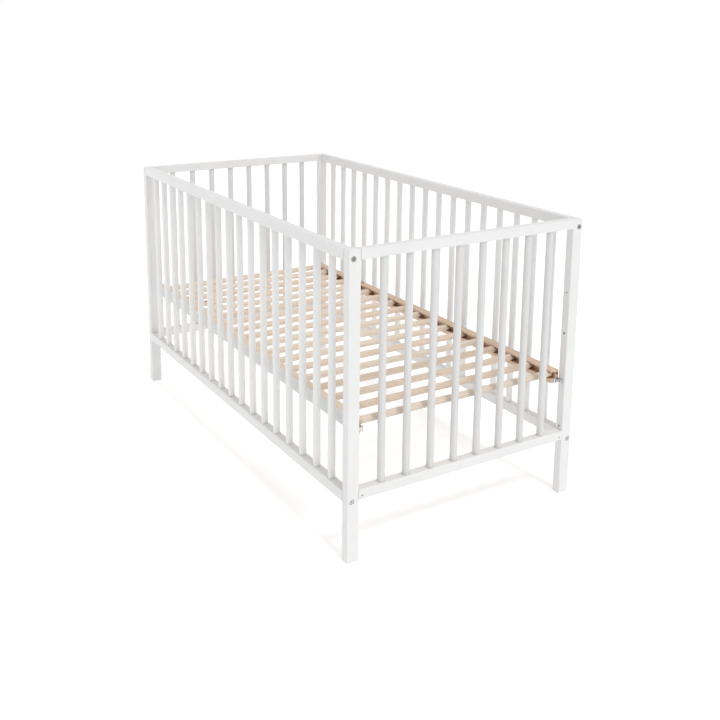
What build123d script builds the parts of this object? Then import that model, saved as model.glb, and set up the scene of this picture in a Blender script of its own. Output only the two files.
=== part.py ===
"""Baby crib for a 700 x 1400 mm mattress, drawn as the pieces it is bolted together from.

Frame: X runs along the crib, Y across it and Z up. The origin is on the floor under the
middle of the crib. "right" is +X, "left" is -X, "back" is +Y and "front" is -Y.
"""
import os

from build123d import *

os.makedirs("parts", exist_ok=True)

# ---------------------------------------------------------------- driving dimensions (mm)
LENGTH = 1466.0            # over the posts, along X
WIDTH = 758.0              # over the posts, along Y
HEIGHT = 823.0             # floor to the top of the posts

POST_X = 27.0              # post section along the crib
POST_Y = 34.0              # post section across the crib
POST_EDGE = 2.5            # rounding of the post's long edges
POST_TOP_EDGE = 2.0        # rounding round the top of a post
POST_FOOT_EDGE = 2.0       # chamfer round the foot of a post

END_RAIL_HEIGHT = 27.0     # end rails are as thick as the posts are along X
END_RAIL_BOTTOM = 170.0    # underside of the bottom end rails
SIDE_RAIL_HEIGHT = 30.0
SIDE_RAIL_THICK = 25.0
SIDE_RAIL_BOTTOM = 162.0   # underside of the bottom side rails
RAIL_EDGE = 2.2            # rounding of the rails' long edges

SPINDLE_D = 20.0
SPINDLE_SEAT = 12.0        # how far a spindle goes into each rail
END_SPINDLES = 8
SIDE_SPINDLES = 17
OUTER_GAP_RATIO = 0.95     # post to first spindle, as a share of the spindle pitch

BEAM_WIDTH = 28.0          # base side beams, a C section open towards the middle
BEAM_HEIGHT = 40.0
BEAM_BOTTOM = 338.0        # underside of the beams with the base in its middle position
BEAM_CLEAR = 0.3           # between a beam and the posts it slides past
BEAM_END_CLEAR = 1.0       # a beam's end short of the end rails' inner faces
BEAM_EDGE = 4.0            # rounding of the beams' long outer edges
GROOVE_DEPTH = 16.0
UPPER_LIP = 6.5            # wood left above the groove
BASE_DOWEL_D = 20.0
BASE_DOWELS = 18
BASE_DOWEL_SPAN = 1372.0   # first to last base dowel
BASE_DOWEL_GAP = 2.0       # dowel end to the bottom of its groove

# height-setting holes in the posts, from the floor
BASE_HOLE_HEIGHTS = (208.0, 346.0, 490.0)
BASE_LEVEL = 346.0         # the hole in use
ACCESSORY_HOLE_HEIGHT = 610.0

BOLT_D = 6.0               # M6 throughout
BOLT_HOLE_D = 6.4
FRAME_BOLT_LIFT = 7.5      # frame bolt above the underside of its side rail
FRAME_BOLT_HEAD_D = 12.8
FRAME_BOLT_HEAD = 3.0
COUNTERBORE_DEPTH = 4.5    # leaves the head a little below the post's face
COUNTERBORE_D = 14.6
FRAME_BOLT_REACH = 46.0    # shank length beyond the post, inside the rail
SOCKET_ACROSS_CORNERS = 5.8
SOCKET_DEPTH = 2.2

BARREL_D = 10.0
BARREL_LENGTH = 13.0
BARREL_SET_BACK = 1.5      # barrel nut's end above the underside of its rail
BARREL_INSET = 34.0        # barrel nut centre from the rail's end

PIN_D = 8.0                # wooden locating pins
PIN_LENGTH = 36.0
SIDE_PIN_LIFT = 22.0       # side rail pin above the underside of its rail
SIDE_PIN_INSET = 9.0       # side rail pin from the rail's outer face
END_PIN_LIFT = 18.0        # end rail pin above the underside of its rail

LOCK_SCREW_D = 5.0         # pins the bottom end rails' joints from outside
LOCK_SCREW_LENGTH = 22.0
LOCK_SCREW_INSET = 10.0    # from the post's face
LOCK_SCREW_LIFT = 9.0      # above the underside of the rail

INSERT_D = 9.0             # threaded insert nuts behind the height-setting holes
INSERT_LENGTH = 14.0

BRACKET_THICK = 2.5
BRACKET_HEIGHT = 14.0
BRACKET_LIFT = 0.5         # above the underside of the beam
BRACKET_WIDTH = 22.0       # on the beam's end
BRACKET_REACH = 19.5       # beyond the beam's end, over the post
HOOK_CLEAR = 0.2           # between a bracket and the head of the bolt it hangs on
HOOK_SLOT = 6.6            # open-ended slot that hangs on the bolt
LOW_HEAD_D = 12.0
LOW_HEAD = 3.0
BEAM_BOLT_LENGTH = 40.0
BEAM_BOLT_INSET = 14.0     # beam bolt centre from the beam's outer face
SPARE_HOLE_D = 8.0         # spare fixing hole in each beam end
SPARE_HOLE_DEPTH = 30.0
SPARE_HOLE_LIFT = 28.0

# ---------------------------------------------------------------- worked out from them
post_mid_x = LENGTH / 2 - POST_X / 2
post_mid_y = WIDTH / 2 - POST_Y / 2
inner_x = LENGTH / 2 - POST_X          # inner face of the posts and end rails
inner_y = WIDTH / 2 - POST_Y           # inner face of the posts, across the crib
side_mid_y = WIDTH / 2 - SIDE_RAIL_THICK / 2
beam_outer_y = inner_y - BEAM_CLEAR
beam_inner_y = beam_outer_y - BEAM_WIDTH
groove_back_y = beam_inner_y + GROOVE_DEPTH
dowel_axis_z = BEAM_BOTTOM + BEAM_HEIGHT - UPPER_LIP - BASE_DOWEL_D / 2
end_rail_top_z = HEIGHT - END_RAIL_HEIGHT
side_rail_top_z = HEIGHT - SIDE_RAIL_HEIGHT
frame_bolt_heights = (SIDE_RAIL_BOTTOM + FRAME_BOLT_LIFT, side_rail_top_z + FRAME_BOLT_LIFT)
side_pin_heights = (SIDE_RAIL_BOTTOM + SIDE_PIN_LIFT, side_rail_top_z + SIDE_PIN_LIFT)
end_pin_heights = (END_RAIL_BOTTOM + END_PIN_LIFT, end_rail_top_z + END_PIN_LIFT)
side_pin_y = WIDTH / 2 - SIDE_PIN_INSET
beam_end_x = inner_x - BEAM_END_CLEAR
lock_screw_z = END_RAIL_BOTTOM + LOCK_SCREW_LIFT
lock_screw_y = inner_y - LOCK_SCREW_INSET

RIGHT, LEFT, BACK, FRONT = 1, -1, 1, -1
ENDS = {"right": RIGHT, "left": LEFT}
SIDES = {"front": FRONT, "back": BACK}


def spaced(clear, count):
    """Centres of count spindles in a clear width, with slightly narrower outer gaps."""
    pitch = clear / (count - 1 + 2 * OUTER_GAP_RATIO)
    return [pitch * (i - (count - 1) / 2) for i in range(count)]


end_spindle_ys = spaced(2 * inner_y, END_SPINDLES)
side_spindle_xs = spaced(2 * inner_x, SIDE_SPINDLES)
base_dowel_pitch = BASE_DOWEL_SPAN / (BASE_DOWELS - 1)
base_dowel_xs = [base_dowel_pitch * (i - (BASE_DOWELS - 1) / 2) for i in range(BASE_DOWELS)]


def facing_x(end, x, y, z):
    """Plane at a point, its normal pointing out of the crib at that end."""
    return Plane(origin=(x, y, z), x_dir=(0, end, 0), z_dir=(end, 0, 0))


def facing_y(side, x, y, z):
    """Plane at a point, its normal pointing across the crib towards that side."""
    return Plane(origin=(x, y, z), x_dir=(-side, 0, 0), z_dir=(0, side, 0))


def save(piece, name):
    """Label a finished piece and write it as its own node."""
    piece.part.label = name
    export_step(piece.part, f"parts/{name}.step")


# ---------------------------------------------------------------- posts
def make_post(end, side):
    """A corner post with its bolt, pin and height-setting holes."""
    x = end * post_mid_x
    y = side * post_mid_y
    bolt_y = side * side_mid_y
    outer_x = end * LENGTH / 2
    with BuildPart() as post:
        with BuildSketch(Plane.XY) as section:
            with Locations((x, y)):
                Rectangle(POST_X, POST_Y)
        extrude(amount=HEIGHT)
        fillet(post.edges().filter_by(Axis.Z), POST_EDGE)
        fillet(post.faces().sort_by(Axis.Z)[-1].edges(), POST_TOP_EDGE)
        chamfer(post.faces().sort_by(Axis.Z)[0].edges(), POST_FOOT_EDGE)

        # frame bolts, from the outer face through to the side rails
        for z in frame_bolt_heights:
            with BuildSketch(facing_x(end, outer_x, bolt_y, z)):
                Circle(COUNTERBORE_D / 2)
            extrude(amount=-COUNTERBORE_DEPTH, mode=Mode.SUBTRACT)
            with BuildSketch(facing_x(end, outer_x, bolt_y, z)):
                Circle(BOLT_HOLE_D / 2)
            extrude(amount=-POST_X, mode=Mode.SUBTRACT)

        # locating pins of the side rails
        for z in side_pin_heights:
            with BuildSketch(facing_x(end, end * inner_x, side * side_pin_y, z)):
                Circle(PIN_D / 2)
            extrude(amount=PIN_LENGTH / 2, mode=Mode.SUBTRACT)

        # locating pins of the end rails
        for z in end_pin_heights:
            with BuildSketch(facing_y(side, x, side * inner_y, z)):
                Circle(PIN_D / 2)
            extrude(amount=PIN_LENGTH / 2, mode=Mode.SUBTRACT)

        # height-setting holes, each with a seat for its insert nut
        for z in BASE_HOLE_HEIGHTS:
            with BuildSketch(facing_y(side, x, side * inner_y, z)):
                Circle(INSERT_D / 2)
            extrude(amount=INSERT_LENGTH, mode=Mode.SUBTRACT)
        if end == RIGHT:
            with BuildSketch(facing_y(side, x, side * inner_y, ACCESSORY_HOLE_HEIGHT)):
                Circle(BOLT_D / 2)
            extrude(amount=INSERT_LENGTH, mode=Mode.SUBTRACT)
    return post


# ---------------------------------------------------------------- rails and spindles
def make_end_rail(end, bottom, seats_on_top):
    """An end rail between two posts, with seats for the spindles on one face."""
    x = end * post_mid_x
    seat_z = bottom + END_RAIL_HEIGHT if seats_on_top else bottom
    seat_depth = -SPINDLE_SEAT if seats_on_top else SPINDLE_SEAT
    with BuildPart() as rail:
        with BuildSketch(Plane.XY.offset(bottom)):
            with Locations((x, 0)):
                Rectangle(POST_X, 2 * inner_y)
        extrude(amount=END_RAIL_HEIGHT)
        fillet(rail.edges().filter_by(Axis.Y), RAIL_EDGE)
        with BuildSketch(Plane.XY.offset(seat_z)):
            with Locations(*[(x, y) for y in end_spindle_ys]):
                Circle(SPINDLE_D / 2)
        extrude(amount=seat_depth, mode=Mode.SUBTRACT)
        for side in (FRONT, BACK):
            with BuildSketch(facing_y(side, x, side * inner_y, bottom + END_PIN_LIFT)):
                Circle(PIN_D / 2)
            extrude(amount=-PIN_LENGTH / 2, mode=Mode.SUBTRACT)
            if seats_on_top:
                with BuildSketch(facing_x(end, end * LENGTH / 2, side * lock_screw_y, lock_screw_z)):
                    Circle(LOCK_SCREW_D / 2)
                extrude(amount=-LOCK_SCREW_LENGTH, mode=Mode.SUBTRACT)
    return rail


def make_side_rail(side, bottom, seats_on_top):
    """A side rail with spindle seats, and bolt, pin and barrel nut holes at each end."""
    y = side * side_mid_y
    seat_z = bottom + SIDE_RAIL_HEIGHT if seats_on_top else bottom
    seat_depth = -SPINDLE_SEAT if seats_on_top else SPINDLE_SEAT
    with BuildPart() as rail:
        with BuildSketch(Plane.XY.offset(bottom)):
            with Locations((0, y)):
                Rectangle(2 * inner_x, SIDE_RAIL_THICK)
        extrude(amount=SIDE_RAIL_HEIGHT)
        fillet(rail.edges().filter_by(Axis.X), RAIL_EDGE)
        with BuildSketch(Plane.XY.offset(seat_z)):
            with Locations(*[(x, y) for x in side_spindle_xs]):
                Circle(SPINDLE_D / 2)
        extrude(amount=seat_depth, mode=Mode.SUBTRACT)
        for end in (LEFT, RIGHT):
            with BuildSketch(facing_x(end, end * inner_x, y, bottom + FRAME_BOLT_LIFT)):
                Circle(BOLT_HOLE_D / 2)
            extrude(amount=-FRAME_BOLT_REACH, mode=Mode.SUBTRACT)
            with BuildSketch(facing_x(end, end * inner_x, side * side_pin_y, bottom + SIDE_PIN_LIFT)):
                Circle(PIN_D / 2)
            extrude(amount=-PIN_LENGTH / 2, mode=Mode.SUBTRACT)
            with BuildSketch(Plane.XY.offset(bottom)):
                with Locations((end * (inner_x - BARREL_INSET), y)):
                    Circle(BARREL_D / 2)
            extrude(amount=BARREL_SET_BACK + BARREL_LENGTH, mode=Mode.SUBTRACT)
    return rail


def make_spindles(points, low, high):
    """A row of upright round spindles, each one running into both of its rails."""
    with BuildPart() as spindles:
        with BuildSketch(Plane.XY.offset(low - SPINDLE_SEAT)):
            with Locations(*points):
                Circle(SPINDLE_D / 2)
        extrude(amount=high - low + 2 * SPINDLE_SEAT)
    return spindles


# ---------------------------------------------------------------- frame fastenings
def make_frame_bolts():
    """Socket-head bolts through the posts into the side rails."""
    with BuildPart() as bolts:
        for end in ENDS.values():
            for side in SIDES.values():
                for z in frame_bolt_heights:
                    seat_x = LENGTH / 2 - COUNTERBORE_DEPTH
                    seat = facing_x(end, end * seat_x, side * side_mid_y, z)
                    top = facing_x(end, end * (seat_x + FRAME_BOLT_HEAD), side * side_mid_y, z)
                    with BuildSketch(seat):
                        Circle(FRAME_BOLT_HEAD_D / 2)
                    extrude(amount=FRAME_BOLT_HEAD)
                    with BuildSketch(seat):
                        Circle(BOLT_D / 2)
                    extrude(amount=-(seat_x - inner_x + FRAME_BOLT_REACH - 1))
                    with BuildSketch(top):
                        RegularPolygon(SOCKET_ACROSS_CORNERS / 2, 6)
                    extrude(amount=-SOCKET_DEPTH, mode=Mode.SUBTRACT)
    return bolts


def make_barrel_nuts():
    """Cross nuts that the frame bolts thread into, upright in the side rails."""
    with BuildPart() as nuts:
        for rail_bottom in (SIDE_RAIL_BOTTOM, side_rail_top_z):
            with BuildSketch(Plane.XY.offset(rail_bottom + BARREL_SET_BACK)):
                with GridLocations(2 * (inner_x - BARREL_INSET), 2 * side_mid_y, 2, 2):
                    Circle(BARREL_D / 2)
            extrude(amount=BARREL_LENGTH)
        for end in ENDS.values():
            for side in SIDES.values():
                for z in frame_bolt_heights:
                    with BuildSketch(facing_x(end, end * inner_x, side * side_mid_y, z)):
                        Circle(BOLT_D / 2)
                    extrude(amount=-2 * BARREL_INSET, mode=Mode.SUBTRACT)
    return nuts


def make_side_pins():
    """Wooden pins that keep the side rails from turning on their bolts."""
    with BuildPart() as pins:
        for end in ENDS.values():
            for side in SIDES.values():
                for z in side_pin_heights:
                    with BuildSketch(facing_x(end, end * inner_x, side * side_pin_y, z)):
                        Circle(PIN_D / 2)
                    extrude(amount=PIN_LENGTH / 2, both=True)
    return pins


def make_end_pins():
    """Wooden pins glued between the end rails and their posts."""
    with BuildPart() as pins:
        for end in ENDS.values():
            for side in SIDES.values():
                for z in end_pin_heights:
                    with BuildSketch(facing_y(side, end * post_mid_x, side * inner_y, z)):
                        Circle(PIN_D / 2)
                    extrude(amount=PIN_LENGTH / 2, both=True)
    return pins


def make_lock_screws():
    """Screws sunk in the ends of the bottom end rails."""
    with BuildPart() as screws:
        for end in ENDS.values():
            for side in SIDES.values():
                head = facing_x(end, end * (LENGTH / 2 - 1), side * lock_screw_y, lock_screw_z)
                with BuildSketch(head):
                    Circle(LOCK_SCREW_D / 2)
                extrude(amount=-(LOCK_SCREW_LENGTH - 1))
    return screws


def make_insert_nuts():
    """Threaded sleeves behind the height-setting holes of every post."""
    with BuildPart() as inserts:
        for end in ENDS.values():
            for side in SIDES.values():
                for z in BASE_HOLE_HEIGHTS:
                    with BuildSketch(facing_y(side, end * post_mid_x, side * inner_y, z)):
                        Circle(INSERT_D / 2)
                        Circle(BOLT_D / 2, mode=Mode.SUBTRACT)
                    extrude(amount=INSERT_LENGTH)
    return inserts


# ---------------------------------------------------------------- base
def make_base_beam(side):
    """A long C-section beam, grooved on its inner face for the ends of the base dowels."""
    top_z = BEAM_BOTTOM + BEAM_HEIGHT
    mid_y = side * (beam_outer_y + beam_inner_y) / 2
    groove_mid_y = side * (beam_inner_y + groove_back_y) / 2
    with BuildPart() as beam:
        with BuildSketch(Plane.YZ.offset(-beam_end_x)) as section:
            with Locations((mid_y, BEAM_BOTTOM + BEAM_HEIGHT / 2)):
                Rectangle(BEAM_WIDTH, BEAM_HEIGHT)
            fillet(section.vertices(), BEAM_EDGE)
            with Locations((groove_mid_y, dowel_axis_z)):
                Rectangle(GROOVE_DEPTH, BASE_DOWEL_D, mode=Mode.SUBTRACT)
        extrude(amount=2 * beam_end_x)
        for end in ENDS.values():
            bolt_y = side * (beam_outer_y - BEAM_BOLT_INSET)
            with BuildSketch(facing_x(end, end * beam_end_x, bolt_y, BASE_LEVEL)):
                Circle(BOLT_D / 2)
            extrude(amount=-BEAM_BOLT_LENGTH, mode=Mode.SUBTRACT)
            spare_y = side * (beam_outer_y + groove_back_y) / 2
            with BuildSketch(facing_x(end, end * beam_end_x, spare_y, BEAM_BOTTOM + SPARE_HOLE_LIFT)):
                Circle(SPARE_HOLE_D / 2)
            extrude(amount=-SPARE_HOLE_DEPTH, mode=Mode.SUBTRACT)
    return beam


def make_base_dowels():
    """The round bars of the base, held at both ends in the beams' grooves."""
    with BuildPart() as dowels:
        with BuildSketch(Plane.XZ):
            with Locations(*[(x, dowel_axis_z) for x in base_dowel_xs]):
                Circle(BASE_DOWEL_D / 2)
        extrude(amount=groove_back_y - BASE_DOWEL_GAP, both=True)
    return dowels


def make_base_brackets():
    """Steel angles on the beam ends, each with an open slot that hooks over a base bolt."""
    with BuildPart() as brackets:
        for end in ENDS.values():
            for side in SIDES.values():
                low = BEAM_BOTTOM + BRACKET_LIFT
                face_x = end * (beam_end_x + BRACKET_THICK / 2)
                flange_x = end * (beam_end_x + BRACKET_REACH / 2)
                with BuildSketch(Plane.XY.offset(low)):
                    with Locations((face_x, side * (beam_outer_y - BRACKET_WIDTH / 2))):
                        Rectangle(BRACKET_THICK, BRACKET_WIDTH)
                    with Locations((flange_x, side * (beam_outer_y - BRACKET_THICK / 2))):
                        Rectangle(BRACKET_REACH, BRACKET_THICK)
                extrude(amount=BRACKET_HEIGHT)
                slot_depth = BASE_LEVEL - low
                with BuildSketch(facing_y(side, end * post_mid_x, side * inner_y, BASE_LEVEL)):
                    Circle(HOOK_SLOT / 2)
                    with Locations((0, -slot_depth / 2)):
                        Rectangle(HOOK_SLOT, slot_depth)
                extrude(amount=-2 * BRACKET_THICK, mode=Mode.SUBTRACT)
                bolt_y = side * (beam_outer_y - BEAM_BOLT_INSET)
                with BuildSketch(facing_x(end, end * beam_end_x, bolt_y, BASE_LEVEL)):
                    Circle(BOLT_D / 2)
                extrude(amount=2 * BRACKET_THICK, mode=Mode.SUBTRACT)
    return brackets


def make_beam_bolts():
    """Low-head bolts that hold the brackets to the beam ends."""
    with BuildPart() as bolts:
        for end in ENDS.values():
            for side in SIDES.values():
                seat_x = end * (beam_end_x + BRACKET_THICK)
                bolt_y = side * (beam_outer_y - BEAM_BOLT_INSET)
                seat = facing_x(end, seat_x, bolt_y, BASE_LEVEL)
                with BuildSketch(seat):
                    Circle(LOW_HEAD_D / 2)
                extrude(amount=LOW_HEAD)
                with BuildSketch(seat):
                    Circle(BOLT_D / 2)
                extrude(amount=-(BRACKET_THICK + BEAM_BOLT_LENGTH))
                with BuildSketch(facing_x(end, seat_x + end * LOW_HEAD, bolt_y, BASE_LEVEL)):
                    RegularPolygon(SOCKET_ACROSS_CORNERS / 2, 6)
                extrude(amount=-SOCKET_DEPTH, mode=Mode.SUBTRACT)
    return bolts


def make_base_bolts():
    """Low-head bolts in the posts' insert nuts that the base hangs on."""
    head_y = inner_y - BEAM_CLEAR - BRACKET_THICK - HOOK_CLEAR
    with BuildPart() as bolts:
        for end in ENDS.values():
            for side in SIDES.values():
                seat = facing_y(side, end * post_mid_x, side * head_y, BASE_LEVEL)
                with BuildSketch(seat):
                    Circle(LOW_HEAD_D / 2)
                extrude(amount=-LOW_HEAD)
                with BuildSketch(seat):
                    Circle(BOLT_D / 2)
                extrude(amount=inner_y - head_y + INSERT_LENGTH)
                with BuildSketch(facing_y(side, end * post_mid_x, side * (head_y - LOW_HEAD), BASE_LEVEL)):
                    RegularPolygon(SOCKET_ACROSS_CORNERS / 2, 6)
                extrude(amount=SOCKET_DEPTH, mode=Mode.SUBTRACT)
    return bolts


# ---------------------------------------------------------------- build and write every node
for end_name, end_sign in ENDS.items():
    for side_name, side_sign in SIDES.items():
        save(make_post(end_sign, side_sign), f"post_{side_name}_{end_name}")
    save(make_end_rail(end_sign, END_RAIL_BOTTOM, True), f"end_bottom_rail_{end_name}")
    save(make_end_rail(end_sign, end_rail_top_z, False), f"end_top_rail_{end_name}")
    end_points = [(end_sign * post_mid_x, y) for y in end_spindle_ys]
    end_low = END_RAIL_BOTTOM + END_RAIL_HEIGHT
    save(make_spindles(end_points, end_low, end_rail_top_z), f"end_spindles_{end_name}")

for side_name, side_sign in SIDES.items():
    save(make_side_rail(side_sign, SIDE_RAIL_BOTTOM, True), f"side_bottom_rail_{side_name}")
    save(make_side_rail(side_sign, side_rail_top_z, False), f"side_top_rail_{side_name}")
    side_points = [(x, side_sign * side_mid_y) for x in side_spindle_xs]
    side_low = SIDE_RAIL_BOTTOM + SIDE_RAIL_HEIGHT
    save(make_spindles(side_points, side_low, side_rail_top_z), f"side_spindles_{side_name}")
    save(make_base_beam(side_sign), f"base_beam_{side_name}")

save(make_frame_bolts(), "frame_bolts")
save(make_barrel_nuts(), "barrel_nuts")
save(make_side_pins(), "side_rail_pins")
save(make_end_pins(), "end_rail_pins")
save(make_lock_screws(), "lock_screws")
save(make_insert_nuts(), "insert_nuts")
save(make_base_dowels(), "base_dowels")
save(make_base_brackets(), "base_brackets")
save(make_beam_bolts(), "beam_bolts")
save(make_base_bolts(), "base_bolts")
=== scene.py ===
"""Looks of the baby crib: a white painted frame, a bare pine base and plated steel fittings.

Posts, rails and beams keep their CAD shapes and get materials here. Bars, dowels and steel pieces
are made again in finer detail, in the places that the CAD frame gives.
"""

import math
import random

import bmesh
import bpy
from mathutils import Matrix, Vector


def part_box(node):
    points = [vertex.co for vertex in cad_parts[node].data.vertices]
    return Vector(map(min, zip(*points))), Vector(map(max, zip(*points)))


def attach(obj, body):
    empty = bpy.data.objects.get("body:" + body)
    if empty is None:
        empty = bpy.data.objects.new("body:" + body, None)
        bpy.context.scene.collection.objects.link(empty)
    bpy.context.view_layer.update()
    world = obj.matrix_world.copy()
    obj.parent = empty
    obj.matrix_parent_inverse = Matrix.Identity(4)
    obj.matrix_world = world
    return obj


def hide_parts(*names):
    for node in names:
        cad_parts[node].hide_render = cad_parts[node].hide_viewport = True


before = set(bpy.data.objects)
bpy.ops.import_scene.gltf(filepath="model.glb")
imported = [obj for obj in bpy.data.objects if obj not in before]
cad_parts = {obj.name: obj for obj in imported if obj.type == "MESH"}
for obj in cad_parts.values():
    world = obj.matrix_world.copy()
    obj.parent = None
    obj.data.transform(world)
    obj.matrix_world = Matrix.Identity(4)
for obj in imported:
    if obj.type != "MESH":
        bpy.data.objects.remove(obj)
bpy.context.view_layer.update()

X, Y, Z = 0, 1, 2
RANDOM_SEED = 7
rng = random.Random(RANDOM_SEED)

# ---------------------------------------------------------------- sizes (metres)
BAR_SHOULDER = 0.0006      # last stretch of a bar, just clear of its seat
BAR_SHOULDER_IN = 0.0004   # how much thinner the bar is in its seat
BAR_SEAT_START = 0.0002    # the thin end starts this far inside the rail
BAR_STRETCHES = 8
DOWEL_CHAMFER = 0.0012
DOWEL_WAVE = 0.00012       # unevenness of a dowel's radius
DOWEL_STRETCHES = 12
ROUND_SEGMENTS = 40
METAL_EDGE = 0.0003        # softened edge on steel pieces
WELD = 1e-6                # vertices closer than this are one

SMOOTH_ANGLE = math.radians(35)   # faces that meet at less than this shade as one surface
EDGE_ANGLE = math.radians(40)     # steel edges sharper than this are softened
FLAT_ANGLE = math.radians(1)      # faces flatter than this are merged first

RING_RATE = 2300.0                # radians per metre from the pith: rings 2.7 mm apart
RING_WANDER = 0.012               # how far the rings stray from true circles
SEED_SPREAD = 4.0                 # each dowel's wood is taken from up to this far away in x and y
SEED_RISE = (0.06, 0.16)          # and from this far away in z

# ---------------------------------------------------------------- colours
PAINT = (0.762, 0.762, 0.760, 1)
PAINT_SHADE = (0.742, 0.741, 0.737, 1)
PAINT_GRAIN = (0.700, 0.697, 0.690, 1)   # grain lines that show faintly through the paint
# painted shade: the grey that the paint darkens to in joints and inside corners
PAINT_SEAM_SHADE = (0.655, 0.650, 0.640, 1)
PINE_PALE = (0.735, 0.645, 0.550, 1)
PINE_RING = (0.590, 0.450, 0.335, 1)
PINE_WARM = (0.670, 0.480, 0.345, 1)
PINE_SHADOW = (0.400, 0.225, 0.135, 1)
PINE_KNOT = (0.260, 0.140, 0.080, 1)

# ---------------------------------------------------------------- floor, light and camera values
FLOOR_RADIUS = 40.0
FLOOR_SEGMENTS = 96
FLOOR_DROP = 0.0005              # keeps the floor just under the feet
FLOOR_TONES = (0.89, 0.87)
FLOOR_GLOW = 0.25                # keeps the floor pale under the crib
SKY_LEVEL = 0.65                 # even studio light from all round
SKY_SLOPE = (0.02, 0.05, 0.25)   # a little more of it from the right end, the back and above
SUN_FROM = (0.56, 0.04, 0.83)
SUN_POWER = 1.02
SUN_SOFTNESS = math.radians(13)
PANEL_PLACE = (-1.7, -1.9, 1.3)  # a large soft lamp off the front left corner
PANEL_SIZE = 1.4
PANEL_POWER = 3.5

CAM_PLACE = (2.602, -1.506, 1.365)
CAM_AZIMUTH, CAM_ELEVATION, CAM_ROLL = 58.270, 11.845, 0.576   # degrees
CAM_LENS, CAM_SENSOR = 47.42, 36.0                             # millimetres
CAM_SHIFT_Y = -0.20
CAM_NEAREST = 0.05


# ---------------------------------------------------------------- node material helpers
# places of the factor, A, B and the result on Blender's Mix node, for each kind of value
MIX_SOCKETS = {"FLOAT": (0, 2, 3, 0), "VECTOR": (0, 4, 5, 1), "RGBA": (0, 6, 7, 2)}


class Shader:
    """A material's node tree, with short calls for the nodes used here."""

    def __init__(self, name):
        self.material = bpy.data.materials.new(name)
        self.material.use_nodes = True
        self.tree = self.material.node_tree
        self.tree.nodes.clear()
        self.out = self.add("ShaderNodeOutputMaterial")
        self.bsdf = self.add("ShaderNodeBsdfPrincipled")
        self.link(self.bsdf.outputs["BSDF"], self.out.inputs["Surface"])
        self.coords = self.add("ShaderNodeTexCoord")
        self.place = self.coords.outputs["Object"]

    def add(self, kind, **settings):
        node = self.tree.nodes.new(kind)
        for key, value in settings.items():
            setattr(node, key, value)
        return node

    def link(self, source, target):
        self.tree.links.new(source, target)

    def put(self, value, socket):
        """Links a socket, or sets a plain value."""
        if isinstance(value, bpy.types.NodeSocket):
            self.link(value, socket)
        else:
            socket.default_value = value

    def scaled(self, factors, point=None):
        """A place on the object (or another point), stretched along each axis."""
        return self.vector("MULTIPLY", point or self.place, factors)

    def vector(self, operation, a, b=(0, 0, 0)):
        node = self.add("ShaderNodeVectorMath", operation=operation)
        self.put(a, node.inputs[0])
        self.put(b, node.inputs[1])
        is_number = operation in ("LENGTH", "DOT_PRODUCT")
        return node.outputs["Value" if is_number else "Vector"]

    def math(self, operation, a, b=0.0):
        node = self.add("ShaderNodeMath", operation=operation)
        self.put(a, node.inputs[0])
        self.put(b, node.inputs[1])
        return node.outputs["Value"]

    def noise(self, point, scale=1.0, detail=4.0, roughness=0.55):
        node = self.add("ShaderNodeTexNoise")
        self.link(point, node.inputs["Vector"])
        node.inputs["Scale"].default_value = scale
        node.inputs["Detail"].default_value = detail
        node.inputs["Roughness"].default_value = roughness
        return node.outputs["Fac"]

    def spots(self, point, scale=1.0):
        """Distance to the nearest of a set of scattered points."""
        node = self.add("ShaderNodeTexVoronoi", feature="F1")
        self.link(point, node.inputs["Vector"])
        node.inputs["Scale"].default_value = scale
        return node.outputs["Distance"]

    def ramp(self, value, low, high, to_low=0.0, to_high=1.0):
        """A smooth step from to_low to to_high as value goes from low to high."""
        node = self.add("ShaderNodeMapRange", interpolation_type="SMOOTHSTEP")
        self.put(value, node.inputs["Value"])
        limits = {"From Min": low, "From Max": high, "To Min": to_low, "To Max": to_high}
        for name, number in limits.items():
            node.inputs[name].default_value = number
        return node.outputs["Result"]

    def mix(self, factor, a, b, kind="RGBA", **settings):
        """A mix of two colours, or of two numbers or vectors."""
        node = self.add("ShaderNodeMix", data_type=kind, **settings)
        factor_socket, a_socket, b_socket, result = MIX_SOCKETS[kind]
        self.put(factor, node.inputs[factor_socket])
        self.put(a, node.inputs[a_socket])
        self.put(b, node.inputs[b_socket])
        return node.outputs[result]

    def attribute(self, name):
        return self.add("ShaderNodeAttribute", attribute_name=name)

    def crevice(self, distance):
        """1 in the open, falling to 0 inside joints and corners."""
        node = self.add("ShaderNodeAmbientOcclusion", samples=8)
        node.inputs["Distance"].default_value = distance
        return node.outputs["AO"]

    def bump(self, height, strength, distance, under=None):
        node = self.add("ShaderNodeBump")
        node.inputs["Strength"].default_value = strength
        node.inputs["Distance"].default_value = distance
        self.link(height, node.inputs["Height"])
        if under is not None:
            self.link(under, node.inputs["Normal"])
        return node.outputs["Normal"]

    def finish(self, color, roughness, normal=None, metallic=0.0, specular=0.5):
        self.put(color, self.bsdf.inputs["Base Color"])
        self.put(roughness, self.bsdf.inputs["Roughness"])
        self.bsdf.inputs["Metallic"].default_value = metallic
        self.bsdf.inputs["Specular IOR Level"].default_value = specular
        if normal is not None:
            self.link(normal, self.bsdf.inputs["Normal"])
        return self.material


def stretch(along, tight, loose):
    """Scale factors that draw a texture out along one axis."""
    return tuple(loose if axis == along else tight for axis in (X, Y, Z))


def grey(level, blue=None):
    """A grey, a little bluer where blue is given."""
    return (level, level, level if blue is None else blue, 1)


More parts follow.
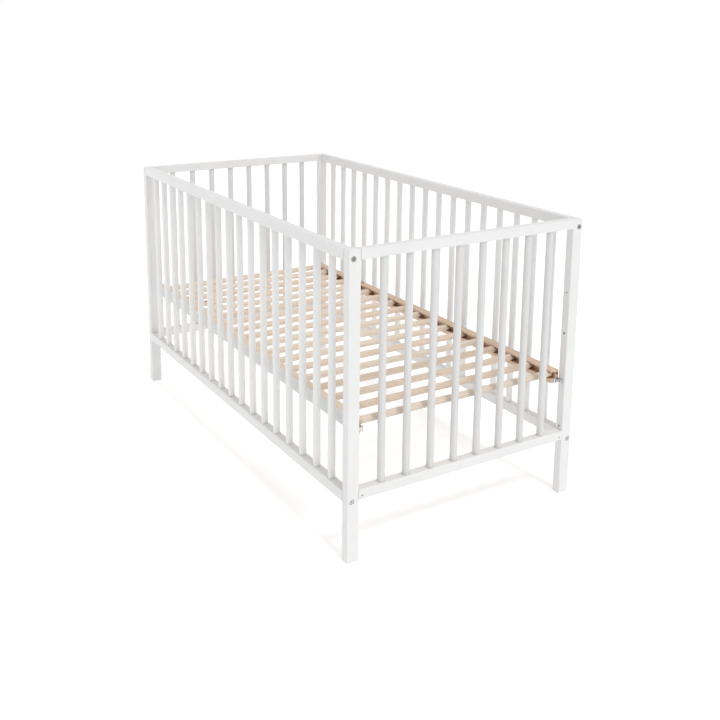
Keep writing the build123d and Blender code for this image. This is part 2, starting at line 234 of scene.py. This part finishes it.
# ---------------------------------------------------------------- materials
def paint_parts(s, along, texture=1.0):
    """Colour, roughness and surface of sprayed satin paint over planed softwood, with painted shade in
    its joints and corners.
    """
    cloud = s.noise(s.place, scale=9.0, detail=3.0)
    grain = s.noise(s.scaled(stretch(along, tight=420.0, loose=9.0)), detail=5.0, roughness=0.6)
    peel = s.noise(s.place, scale=520.0, detail=2.0)
    scuffs = s.noise(s.scaled(stretch(along, tight=60.0, loose=14.0)), detail=6.0, roughness=0.7)

    color = s.mix(s.ramp(cloud, low=0.35, high=0.7), PAINT, PAINT_SHADE)
    # painted shade: the coat greys where the crevice mask finds joints and corners, where shade falls
    open_surface = s.ramp(s.crevice(distance=0.0025), low=0.15, high=0.75)
    color = s.mix(open_surface, PAINT_SEAM_SHADE, color)
    color = s.mix(s.ramp(grain, low=0.52, high=0.68, to_high=0.45), color, PAINT_GRAIN)
    roughness = s.ramp(scuffs, low=0.3, high=0.75, to_low=0.38, to_high=0.50)
    normal = s.bump(grain, strength=0.06 * texture, distance=0.0004)
    normal = s.bump(peel, strength=0.05 * texture, distance=0.0003, under=normal)
    return color, roughness, normal


def make_paint(name, along, texture=1.0, painted_light=1.0):
    """Paint on one kind of piece; a level under 1 greys the coat as painted shade, one above 1 whitens it
    as painted light.
    """
    s = Shader(name)
    color, roughness, normal = paint_parts(s, along, texture)
    # painted light and shade: the same paint made whiter or greyer for one kind of piece
    if painted_light != 1.0:
        color = s.mix(1.0, color, grey(painted_light), blend_type="MULTIPLY")
    return s.finish(color, roughness, normal, specular=0.45)


def pine_parts(s, along, warmth):
    """Growth rings round a pith outside the piece, with streaks, knots and pores.

    Each dowel has its own tone and its own place in the tree, from its seed and tone attributes.
    """
    seed = s.attribute("seed").outputs["Vector"]
    tone = s.attribute("tone").outputs["Fac"]
    point = s.vector("ADD", s.place, seed)

    wander = s.noise(s.scaled(stretch(along, tight=16.0, loose=2.2), point), detail=3.0)
    across = s.scaled(stretch(along, tight=1.0, loose=0.03), point)
    radius = s.math("ADD", s.vector("LENGTH", across), s.math("MULTIPLY", wander, RING_WANDER))
    rings = s.math("SINE", s.math("MULTIPLY", radius, RING_RATE))
    streaks = s.noise(s.scaled(stretch(along, tight=260.0, loose=6.0), point), detail=5.0, roughness=0.65)
    late_wood = s.ramp(rings, low=0.1, high=1.0, to_high=0.75)
    late_wood = s.math("MULTIPLY", late_wood, s.ramp(streaks, low=0.25, high=0.75, to_low=0.45))

    color = s.mix(s.ramp(tone, low=0.0, high=1.0, to_high=0.40), PINE_PALE, PINE_WARM)
    color = s.mix(warmth, color, PINE_WARM)
    color = s.mix(s.math("MULTIPLY", late_wood, 0.75), color, PINE_RING)
    knots = s.spots(s.scaled(stretch(along, tight=13.0, loose=5.2), point))
    halo = s.ramp(knots, low=0.06, high=0.19, to_low=0.45, to_high=0.0)
    core = s.ramp(knots, low=0.035, high=0.085, to_low=1.0, to_high=0.0)
    color = s.mix(halo, color, PINE_RING)
    color = s.mix(core, color, PINE_KNOT)
    open_surface = s.ramp(s.crevice(distance=0.022), low=0.20, high=0.80)
    color = s.mix(open_surface, PINE_SHADOW, color)

    pores = s.noise(s.scaled(stretch(along, tight=900.0, loose=30.0), point), detail=3.0)
    roughness = s.ramp(streaks, low=0.2, high=0.8, to_low=0.52, to_high=0.72)
    normal = s.bump(late_wood, strength=0.12, distance=0.0004)
    normal = s.bump(pores, strength=0.12, distance=0.0003, under=normal)
    return color, roughness, normal


def make_pine(name, along, warmth):
    """Bare pine all over."""
    s = Shader(name)
    color, roughness, normal = pine_parts(s, along, warmth)
    return s.finish(color, roughness, normal, specular=0.25)


def make_beam(name, outward, warmth):
    """Bare pine, with paint on the face that shows through the side bars."""
    s = Shader(name)
    wood, wood_rough, wood_normal = pine_parts(s, X, warmth)
    coat, coat_rough, coat_normal = paint_parts(s, X)
    facing = s.vector("DOT_PRODUCT", s.coords.outputs["Normal"], (0, outward, 0))
    ragged = s.math("MULTIPLY", s.noise(s.place, scale=90.0, detail=4.0), 0.25)
    painted = s.ramp(s.math("ADD", facing, ragged), low=0.78, high=0.86)
    color = s.mix(painted, wood, coat)
    roughness = s.mix(painted, wood_rough, coat_rough, kind="FLOAT")
    normal = s.mix(painted, wood_normal, coat_normal, kind="VECTOR")
    return s.finish(color, roughness, normal, specular=0.35)


def make_steel(name, bright, dark, hollow_shade, rough):
    """Plated steel: spangle, fine scratches, and corners and hollows darkened as painted shade; rough is
    (least, most).
    """
    s = Shader(name)
    spangle = s.spots(s.place, scale=900.0)
    haze = s.noise(s.place, scale=160.0, detail=6.0, roughness=0.65)
    scratches = s.noise(s.scaled((3200.0, 420.0, 420.0)), detail=3.0)
    color = s.mix(s.ramp(haze, low=0.3, high=0.75), bright, dark)
    color = s.mix(s.ramp(spangle, low=0.1, high=0.7, to_high=0.25), color, dark)
    # painted shade: corners and hollows such as bolt sockets darken towards a near-black colour
    open_surface = s.ramp(s.crevice(distance=0.003), low=0.2, high=0.8)
    color = s.mix(open_surface, hollow_shade, color)
    roughness = s.ramp(haze, low=0.25, high=0.8, to_low=rough[0], to_high=rough[1])
    normal = s.bump(scratches, strength=0.10, distance=0.0002)
    normal = s.bump(haze, strength=0.10, distance=0.0003, under=normal)
    return s.finish(color, roughness, normal, metallic=1.0)


paint_x = make_paint("paint_along_x", X)
paint_y = make_paint("paint_along_y", Y)
paint_z = make_paint("paint_along_z", Z)
# painted light on the side bars' paint and painted shade on the end bars' paint: one paint, lit
# differently
paint_side_bars_lit = make_paint("paint_lit_side_bars", Z, texture=0.4, painted_light=1.07)
paint_end_bars_shaded = make_paint("paint_shaded_end_bars", Z, texture=0.4, painted_light=0.88)
pine_y = make_pine("pine_dowels", Y, warmth=0.0)
pine_pins = make_pine("pine_pins", Y, warmth=0.2)
beam_front = make_beam("beam_front", outward=-1, warmth=0.30)
beam_back = make_beam("beam_back", outward=1, warmth=0.85)
zinc = make_steel("zinc_plate", grey(0.84), grey(0.64, 0.65), grey(0.10), rough=(0.16, 0.34))
bolt_plate = make_steel("bolt_plate", grey(0.42), grey(0.30, 0.31), grey(0.03), rough=(0.25, 0.45))
# a lighter plate for the lower bolts: painted reflection of the pale floor
floor_reflection_plate = make_steel("floor_reflection_plate", grey(0.74), grey(0.56, 0.57), grey(0.06), rough=(0.25, 0.45))
black_zinc = make_steel("dark_plate", grey(0.30, 0.31), grey(0.20, 0.21), grey(0.02), rough=(0.30, 0.50))


# ---------------------------------------------------------------- mesh helpers
def shade(obj, material):
    """Gives an object its material and smooth shading with crisp edges."""
    obj.data.materials.clear()
    obj.data.materials.append(material)
    obj.data.shade_smooth()
    obj.data.set_sharp_from_angle(angle=SMOOTH_ANGLE)


def seed_pieces(mesh, groups):
    """Gives every loose piece its own place in the tree (seed) and its own tone."""
    mesh.attributes.new("seed", "FLOAT_VECTOR", "POINT")
    mesh.attributes.new("tone", "FLOAT", "POINT")
    seeds, tones = mesh.attributes["seed"], mesh.attributes["tone"]
    for first, last in groups:
        seed_x = rng.uniform(-SEED_SPREAD, SEED_SPREAD)
        seed_y = rng.uniform(-SEED_SPREAD, SEED_SPREAD)
        seed = (seed_x, seed_y, rng.uniform(*SEED_RISE))
        tone = rng.random()
        for i in range(first, last):
            seeds.data[i].vector = seed
            tones.data[i].value = tone


def add_round(bm, along, centre, profile):
    """A closed turned piece: profile is (place along the axis, radius) from one end to the other."""
    a, b = [axis for axis in (X, Y, Z) if axis != along]
    rings = []
    for place, radius in profile:
        ring = []
        for k in range(ROUND_SEGMENTS):
            turn = 2 * math.pi * k / ROUND_SEGMENTS
            point = list(centre)
            point[along] = place
            point[a] += radius * math.cos(turn)
            point[b] += radius * math.sin(turn)
            ring.append(bm.verts.new(point))
        rings.append(ring)
    for low, high in zip(rings, rings[1:]):
        for k in range(ROUND_SEGMENTS):
            m = (k + 1) % ROUND_SEGMENTS
            bm.faces.new((low[k], low[m], high[m], high[k]))
    bm.faces.new(rings[0])
    bm.faces.new(rings[-1])


def to_object(bm, name):
    """Turns an edited mesh into an object in the scene."""
    bmesh.ops.recalc_face_normals(bm, faces=bm.faces)
    mesh = bpy.data.meshes.new(name)
    bm.to_mesh(mesh)
    bm.free()
    obj = bpy.data.objects.new(name, mesh)
    bpy.context.scene.collection.objects.link(obj)
    return obj


def node_mesh(node):
    """A welded, editable copy of a CAD node's mesh."""
    bm = bmesh.new()
    bm.from_mesh(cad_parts[node].data)
    bmesh.ops.remove_doubles(bm, verts=bm.verts, dist=WELD)
    return bm


def loose_boxes(node):
    """Low and high corners of each separate solid of a CAD node."""
    bm = node_mesh(node)
    left = set(bm.verts)
    boxes = []
    while left:
        stack = [left.pop()]
        points = []
        while stack:
            v = stack.pop()
            points.append(v.co.copy())
            for edge in v.link_edges:
                w = edge.other_vert(v)
                if w in left:
                    left.remove(w)
                    stack.append(w)
        low = Vector([min(p[i] for p in points) for i in range(3)])
        high = Vector([max(p[i] for p in points) for i in range(3)])
        boxes.append((low, high))
    bm.free()
    return sorted(boxes, key=lambda box: tuple(round(c, 4) for c in box[0]))


def places_between(low, high, stretches):
    """The inner points that divide low to high into equal stretches."""
    return [low + (high - low) * k / stretches for k in range(1, stretches)]


# ---------------------------------------------------------------- pieces
def make_bars(node, low_rail, high_rail, material):
    """Upright painted bars, each with a fine shoulder where it enters its rails."""
    low_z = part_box(low_rail)[1][2]
    high_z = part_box(high_rail)[0][2]
    bm = bmesh.new()
    for low, high in loose_boxes(node):
        radius = (high.x - low.x) / 2
        neck = radius - BAR_SHOULDER_IN
        profile = [(low.z, neck), (low_z - BAR_SEAT_START, neck), (low_z + BAR_SHOULDER, radius)]
        profile += [(z, radius) for z in places_between(low_z, high_z, BAR_STRETCHES)]
        profile += [(high_z - BAR_SHOULDER, radius), (high_z + BAR_SEAT_START, neck), (high.z, neck)]
        add_round(bm, Z, (low + high) / 2, profile)
    obj = to_object(bm, node.replace("spindles", "bars"))
    shade(obj, material)
    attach(obj, "frame")
    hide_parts(node)


def make_dowels():
    """The base's round pine bars, each a little different in colour and grain."""
    bm = bmesh.new()
    groups = []
    for low, high in loose_boxes("base_dowels"):
        radius = (high.z - low.z) / 2
        first = len(bm.verts)
        inner = places_between(low.y, high.y, DOWEL_STRETCHES)
        profile = [(low.y, radius - DOWEL_CHAMFER), (low.y + DOWEL_CHAMFER, radius)]
        profile += [(y, radius - rng.uniform(0.0, DOWEL_WAVE)) for y in inner]
        profile += [(high.y - DOWEL_CHAMFER, radius), (high.y, radius - DOWEL_CHAMFER)]
        add_round(bm, Y, (low + high) / 2, profile)
        groups.append((first, len(bm.verts)))
    obj = to_object(bm, "base_bars")
    seed_pieces(obj.data, groups)
    shade(obj, pine_y)
    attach(obj, "base")
    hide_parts("base_dowels")


def soften(node, name, body, material):
    """A steel piece with its edges eased, made from the CAD node's own mesh."""
    bm = node_mesh(node)
    bmesh.ops.dissolve_limit(bm, angle_limit=FLAT_ANGLE, verts=bm.verts, edges=bm.edges)
    sharp = [e for e in bm.edges if e.is_manifold and e.calc_face_angle(0) > EDGE_ANGLE]
    bmesh.ops.bevel(
        bm, geom=sharp, offset=METAL_EDGE, segments=2, profile=0.6, affect="EDGES", clamp_overlap=True
    )
    obj = to_object(bm, name)
    shade(obj, material)
    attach(obj, body)
    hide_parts(node)
    return obj


def make_frame_bolts():
    """The bolts in the posts; the lower ones, nearer the pale floor, get a lighter plate as a painted
    reflection of the floor.
    """
    bolts = soften("frame_bolts", "frame_bolts_eased", "frame", bolt_plate)
    bolts.data.materials.append(floor_reflection_plate)
    base_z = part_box("base_beam_front")[0][2]
    for face in bolts.data.polygons:
        face.material_index = int(face.center.z < base_z)


for end in ("left", "right"):
    for side in ("front", "back"):
        shade(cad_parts[f"post_{side}_{end}"], paint_z)
    low_rail, high_rail = f"end_bottom_rail_{end}", f"end_top_rail_{end}"
    for rail in (low_rail, high_rail):
        shade(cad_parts[rail], paint_y)
    make_bars(f"end_spindles_{end}", low_rail, high_rail, paint_end_bars_shaded)
for side, beam_finish in (("front", beam_front), ("back", beam_back)):
    low_rail, high_rail = f"side_bottom_rail_{side}", f"side_top_rail_{side}"
    for rail in (low_rail, high_rail):
        shade(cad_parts[rail], paint_x)
    make_bars(f"side_spindles_{side}", low_rail, high_rail, paint_side_bars_lit)
    shade(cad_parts[f"base_beam_{side}"], beam_finish)
make_dowels()
for node in ("side_rail_pins", "end_rail_pins"):
    shade(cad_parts[node], pine_pins)
for node in ("barrel_nuts", "insert_nuts"):
    shade(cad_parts[node], zinc)
make_frame_bolts()
soften("lock_screws", "lock_screws_eased", "frame", black_zinc)
soften("base_bolts", "base_bolts_eased", "frame", zinc)
soften("beam_bolts", "beam_bolts_eased", "base", zinc)
soften("base_brackets", "base_brackets_eased", "base", zinc)


# ---------------------------------------------------------------- floor, light and camera
def make_floor():
    """A wide pale floor with a faint speckle."""
    bm = bmesh.new()
    bmesh.ops.create_circle(bm, cap_ends=True, radius=FLOOR_RADIUS, segments=FLOOR_SEGMENTS)
    floor = to_object(bm, "floor")
    floor.location.z = -FLOOR_DROP
    s = Shader("pale_floor")
    speckle = s.noise(s.place, scale=35.0, detail=6.0)
    light_tone, dark_tone = FLOOR_TONES
    tone = s.mix(s.ramp(speckle, low=0.3, high=0.7), grey(light_tone), grey(dark_tone))
    floor.data.materials.append(s.finish(tone, 0.9, specular=0.0))
    s.bsdf.inputs["Emission Color"].default_value = grey(1.0)
    s.bsdf.inputs["Emission Strength"].default_value = FLOOR_GLOW


def make_sky():
    """Even light from all round, a little stronger one way, with a plain white background."""
    world = bpy.data.worlds.new("studio")
    bpy.context.scene.world = world
    world.use_nodes = True
    nodes, links = world.node_tree.nodes, world.node_tree.links
    toward = nodes.new("ShaderNodeTexCoord")
    slope = nodes.new("ShaderNodeVectorMath")
    slope.operation = "DOT_PRODUCT"
    slope.inputs[1].default_value = SKY_SLOPE
    level = nodes.new("ShaderNodeMath")
    level.inputs[1].default_value = SKY_LEVEL
    seen = nodes.new("ShaderNodeLightPath")
    plain = nodes.new("ShaderNodeMix")
    plain.inputs["B"].default_value = 1.0
    background = nodes["Background"]
    background.inputs["Color"].default_value = grey(1.0)
    links.new(toward.outputs["Generated"], slope.inputs[0])
    links.new(slope.outputs["Value"], level.inputs[0])
    links.new(seen.outputs["Is Camera Ray"], plain.inputs["Factor"])
    links.new(level.outputs["Value"], plain.inputs["A"])
    links.new(plain.outputs["Result"], background.inputs["Strength"])


def place_lamp(name, light, source):
    """Stands a light in the scene, shining from the given place or direction at the origin."""
    lamp = bpy.data.objects.new(name, light)
    bpy.context.scene.collection.objects.link(lamp)
    lamp.rotation_euler = Vector(source).to_track_quat("Z", "Y").to_euler()
    return lamp


def make_lamps():
    """One soft key light from the right and above, and a weak panel off the front left corner."""
    sun = bpy.data.lights.new("key", "SUN")
    sun.energy = SUN_POWER
    sun.angle = SUN_SOFTNESS
    place_lamp("key", sun, SUN_FROM)
    panel = bpy.data.lights.new("panel", "AREA")
    panel.shape = "DISK"
    panel.size = PANEL_SIZE
    panel.energy = PANEL_POWER
    place_lamp("panel", panel, PANEL_PLACE).location = PANEL_PLACE


def make_camera():
    """The camera off the right end's front corner, looking slightly down."""
    azimuth, elevation, roll = (math.radians(a) for a in (CAM_AZIMUTH, CAM_ELEVATION, CAM_ROLL))
    level_x = -math.sin(azimuth) * math.cos(elevation)
    level_y = math.cos(azimuth) * math.cos(elevation)
    look = Vector((level_x, level_y, -math.sin(elevation)))
    level_right = Vector((math.cos(azimuth), math.sin(azimuth), 0))
    level_up = level_right.cross(look)
    right = level_right * math.cos(roll) + level_up * math.sin(roll)
    up = level_up * math.cos(roll) - level_right * math.sin(roll)
    lens = bpy.data.cameras.new("camera")
    lens.lens, lens.sensor_width, lens.shift_y = CAM_LENS, CAM_SENSOR, CAM_SHIFT_Y
    lens.clip_start = CAM_NEAREST
    camera = bpy.data.objects.new("camera", lens)
    bpy.context.scene.collection.objects.link(camera)
    turned = Matrix((right, up, -look)).transposed().to_4x4()
    camera.matrix_world = Matrix.Translation(CAM_PLACE) @ turned
    bpy.context.scene.camera = camera


make_floor()
make_sky()
make_lamps()
make_camera()
bpy.context.scene.view_settings.view_transform = "Standard"
